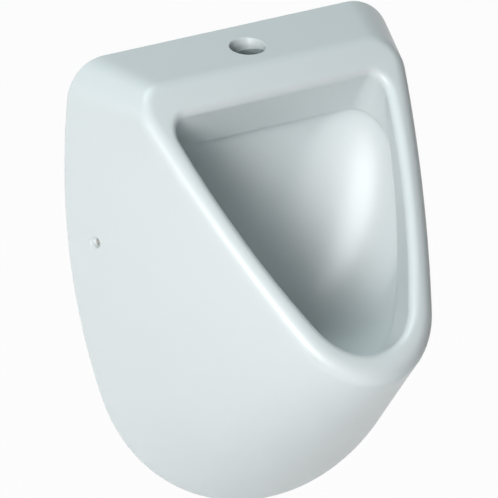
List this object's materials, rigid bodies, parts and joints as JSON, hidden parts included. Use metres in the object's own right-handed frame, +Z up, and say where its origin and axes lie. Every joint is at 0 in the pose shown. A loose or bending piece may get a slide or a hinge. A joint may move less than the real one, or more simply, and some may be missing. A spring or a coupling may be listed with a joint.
{
  "type": "wall hung urinal",
  "caption": "Wall hung urinal in glazed china with an inclined shield-shaped mouth, top flush inlet, concealed side fixings and a bottle trap with rear outlet.",
  "frame": {"origin": "centre of the four wall fixings, on the finished wall's face, 320 mm above the lowest point of the china", "axes": "+X to the right of a person who faces the urinal, +Y back into the wall, +Z up"},
  "size_m": [0.4053, 0.3319, 0.5002],
  "materials": {
    "china": "cool white glaze, high gloss",
    "grey_rubber": "soft matt",
    "black_rubber": "matt",
    "galvanised": "zinc plated, dull",
    "nylon": "natural nylon",
    "nylon_grey": "moulded, satin",
    "stainless": "turned stainless",
    "polished_steel": "polished stainless",
    "chrome_brass": "chrome plate",
    "white_pp": "moulded polypropylene"
  },
  "bodies": {
    "urinal": {"ceramic_body": "china", "inlet_seal": "grey_rubber", "wall_bracket_left": "galvanised", "wall_bracket_right": "galvanised", "bracket_inserts": "galvanised", "side_bushes": "nylon", "side_screws": "stainless", "wall_studs": "stainless", "stud_washers": "stainless", "stud_nuts": "stainless", "waste_flange": "chrome_brass", "waste_gasket_upper": "black_rubber", "waste_gasket_lower": "black_rubber", "waste_backnut": "nylon_grey", "trap_union_nut": "nylon_grey", "trap_union_seal": "black_rubber", "trap_body": "white_pp", "trap_dip_tube": "white_pp", "trap_cup": "white_pp", "trap_cup_seal": "black_rubber", "trap_outlet_nut": "nylon_grey", "trap_outlet_seal": "black_rubber", "outlet_pipe": "white_pp", "wall_collar": "black_rubber"},
    "strainer": {"waste_strainer": "polished_steel"}
  },
  "joints": [
    {"name": "strainer_lift", "type": "slide", "parent": "urinal", "child": "strainer", "axis": [0, 0, 1], "range_m": [0, 0.12]}
  ]
}
